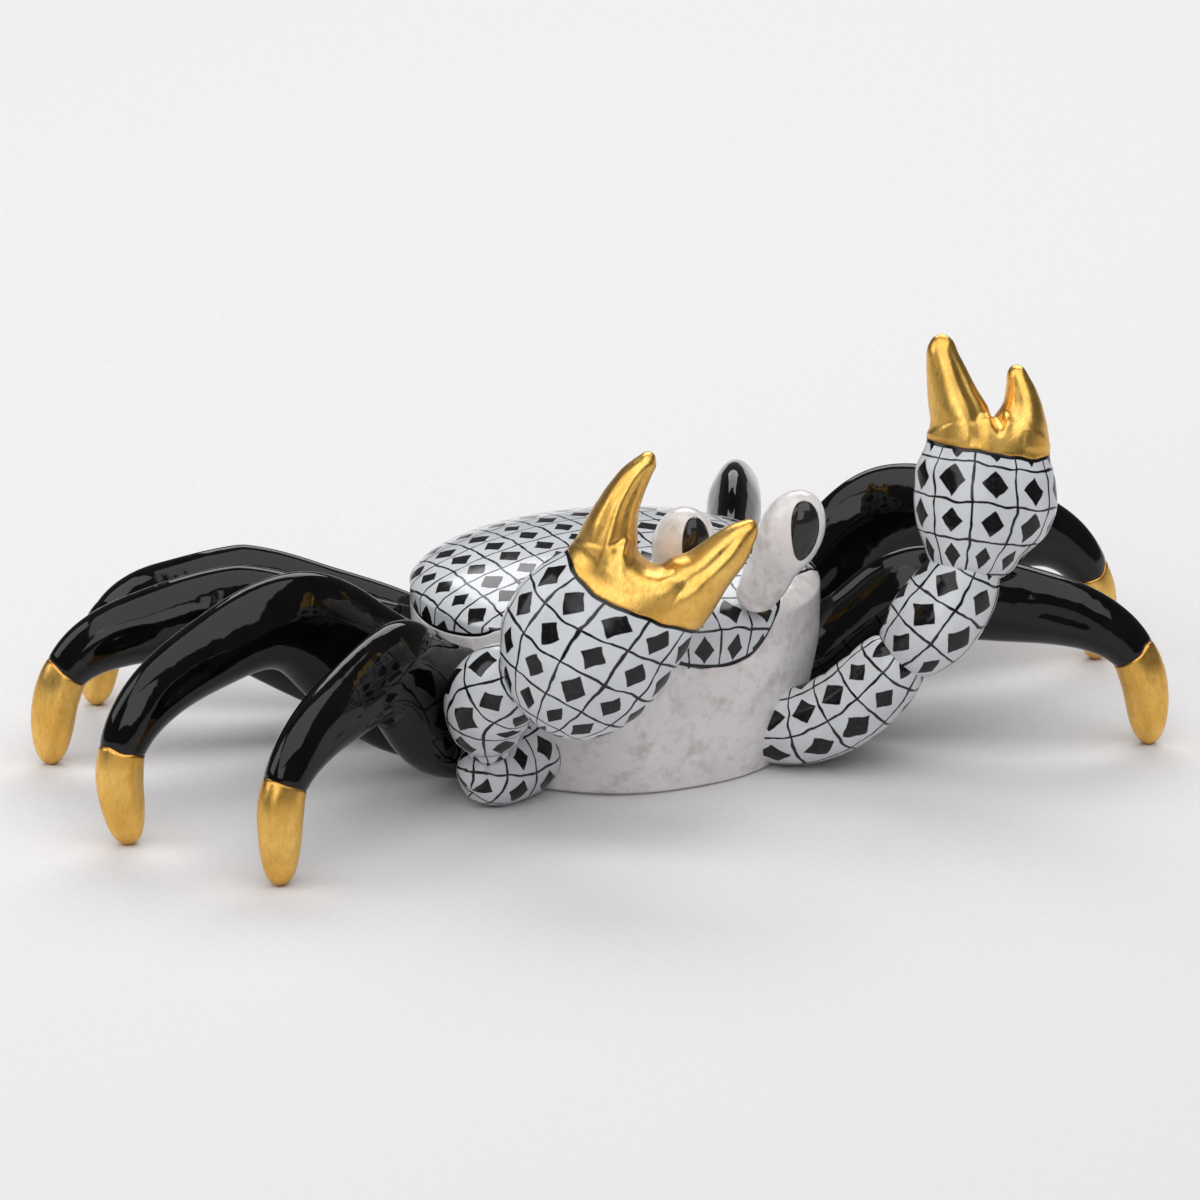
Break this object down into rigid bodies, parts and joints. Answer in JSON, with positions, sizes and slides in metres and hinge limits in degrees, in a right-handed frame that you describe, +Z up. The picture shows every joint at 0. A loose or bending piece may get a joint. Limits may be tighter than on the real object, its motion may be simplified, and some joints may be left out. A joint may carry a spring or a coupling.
{
  "type": "crab figurine",
  "caption": "Glazed porcelain crab ornament that rests on its belly and toes, with a raised claw, a folded claw, stalked eyes, arched black legs and gilded claw fingers and toes.",
  "frame": {"origin": "middle of the flat of the belly that the figurine rests on", "axes": "+Z up, -Y the way the crab faces, +X the crab's own left"},
  "size_m": [0.1198, 0.0721, 0.0454],
  "materials": {
    "patterned_porcelain": "clear glaze over bluish white porcelain, hand painted in black",
    "pale_porcelain": "clear glaze over pale warm grey porcelain",
    "black_glaze": "deep black gloss glaze",
    "gilding": "burnished gold fired over porcelain",
    "pupil_black": "black gloss glaze"
  },
  "bodies": {
    "root": {"arm_lower_left": "patterned_porcelain", "arm_lower_right": "patterned_porcelain", "arm_wrist_left": "patterned_porcelain", "arm_wrist_right": "patterned_porcelain", "carapace": "patterned_porcelain", "claw_fingers_left": "gilding", "claw_fingers_right": "gilding", "claw_palm_left": "patterned_porcelain", "claw_palm_right": "patterned_porcelain", "eye_left": "pale_porcelain", "eye_right": "pale_porcelain", "leg_left_1": "black_glaze", "leg_left_2": "black_glaze", "leg_left_3": "black_glaze", "leg_left_4": "black_glaze", "leg_right_1": "black_glaze", "leg_right_2": "black_glaze", "leg_right_3": "black_glaze", "leg_right_4": "black_glaze", "pupil_left": "pupil_black", "pupil_right": "pupil_black", "toe_left_1": "gilding", "toe_left_2": "gilding", "toe_left_3": "gilding", "toe_left_4": "gilding", "toe_right_1": "gilding", "toe_right_2": "gilding", "toe_right_3": "gilding", "toe_right_4": "gilding", "underbody": "pale_porcelain"}
  },
  "joints": []
}
